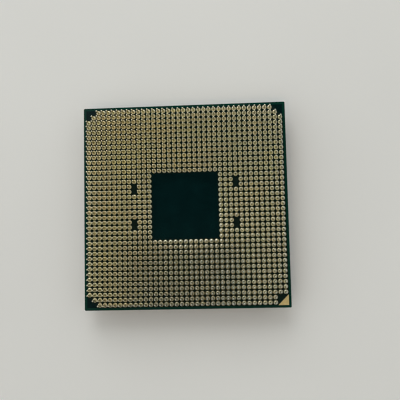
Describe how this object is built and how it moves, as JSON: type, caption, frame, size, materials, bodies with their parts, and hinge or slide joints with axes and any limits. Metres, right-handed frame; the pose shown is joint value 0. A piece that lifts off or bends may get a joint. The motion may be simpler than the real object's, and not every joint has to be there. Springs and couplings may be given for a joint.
{
  "type": "computer processor",
  "caption": "Square desktop processor: lidded organic substrate with a grid of gold pins around a bare middle, key gaps and a gold corner mark.",
  "frame": {"origin": "centre of the lid's outer face", "axes": "+Z from the lid's outer face to the pin tips, with the pins up; +X and +Y along the package's edges, with the first pin's corner mark at +X, -Y"},
  "size_m": [0.04, 0.04, 0.0063],
  "materials": {
    "nickel_plate": "satin nickel plating over copper",
    "sealant": "cured silicone, matt",
    "solder_mask": "semi-gloss dark teal solder mask",
    "build_up_resin": "translucent build-up resin, sawn edge",
    "core_laminate": "glass-cloth laminate, sawn edge",
    "copper": "bare copper",
    "gold_land": "immersion gold over nickel",
    "pin_solder": "solder wetted over gold, bright",
    "gold_pin": "gold plating, bright",
    "silicon": "ground back of a silicon die",
    "bump_solder": "solder bumps",
    "underfill": "cured epoxy underfill",
    "thermal_solder": "indium solder, satin",
    "capacitor_ceramic": "fired ceramic, matt",
    "capacitor_terminal": "tinned terminal"
  },
  "bodies": {
    "root": {"heat_spreader": "nickel_plate", "lid_sealant": "sealant", "solder_mask_pin_side": "solder_mask", "solder_mask_lid_side": "solder_mask", "build_up_pin_side": "build_up_resin", "build_up_lid_side": "build_up_resin", "substrate_core": "core_laminate", "ground_plane": "copper", "power_plane": "copper", "core_vias": "copper", "pin_lands": "gold_land", "pin_solder": "pin_solder", "corner_mark_pin_side": "gold_land", "corner_mark_lid_side": "gold_land", "compute_die": "silicon", "io_die": "silicon", "die_bumps": "bump_solder", "die_underfill": "underfill", "die_solder": "thermal_solder", "capacitor_bodies": "capacitor_ceramic", "capacitor_terminals": "capacitor_terminal", "pin_row_a": "gold_pin", "pin_row_b": "gold_pin", "pin_row_c": "gold_pin", "pin_row_d": "gold_pin", "pin_row_e": "gold_pin", "pin_row_f": "gold_pin", "pin_row_g": "gold_pin", "pin_row_h": "gold_pin", "pin_row_j": "gold_pin", "pin_row_k": "gold_pin", "pin_row_l": "gold_pin", "pin_row_m": "gold_pin", "pin_row_n": "gold_pin", "pin_row_p": "gold_pin", "pin_row_r": "gold_pin", "pin_row_t": "gold_pin", "pin_row_u": "gold_pin", "pin_row_v": "gold_pin", "pin_row_w": "gold_pin", "pin_row_y": "gold_pin", "pin_row_aa": "gold_pin", "pin_row_ab": "gold_pin", "pin_row_ac": "gold_pin", "pin_row_ad": "gold_pin", "pin_row_ae": "gold_pin", "pin_row_af": "gold_pin", "pin_row_ag": "gold_pin", "pin_row_ah": "gold_pin", "pin_row_aj": "gold_pin", "pin_row_ak": "gold_pin", "pin_row_al": "gold_pin", "pin_row_am": "gold_pin", "pin_row_an": "gold_pin", "pin_row_ap": "gold_pin", "pin_row_ar": "gold_pin", "pin_row_at": "gold_pin", "pin_row_au": "gold_pin", "pin_row_av": "gold_pin", "pin_row_aw": "gold_pin"}
  },
  "joints": []
}
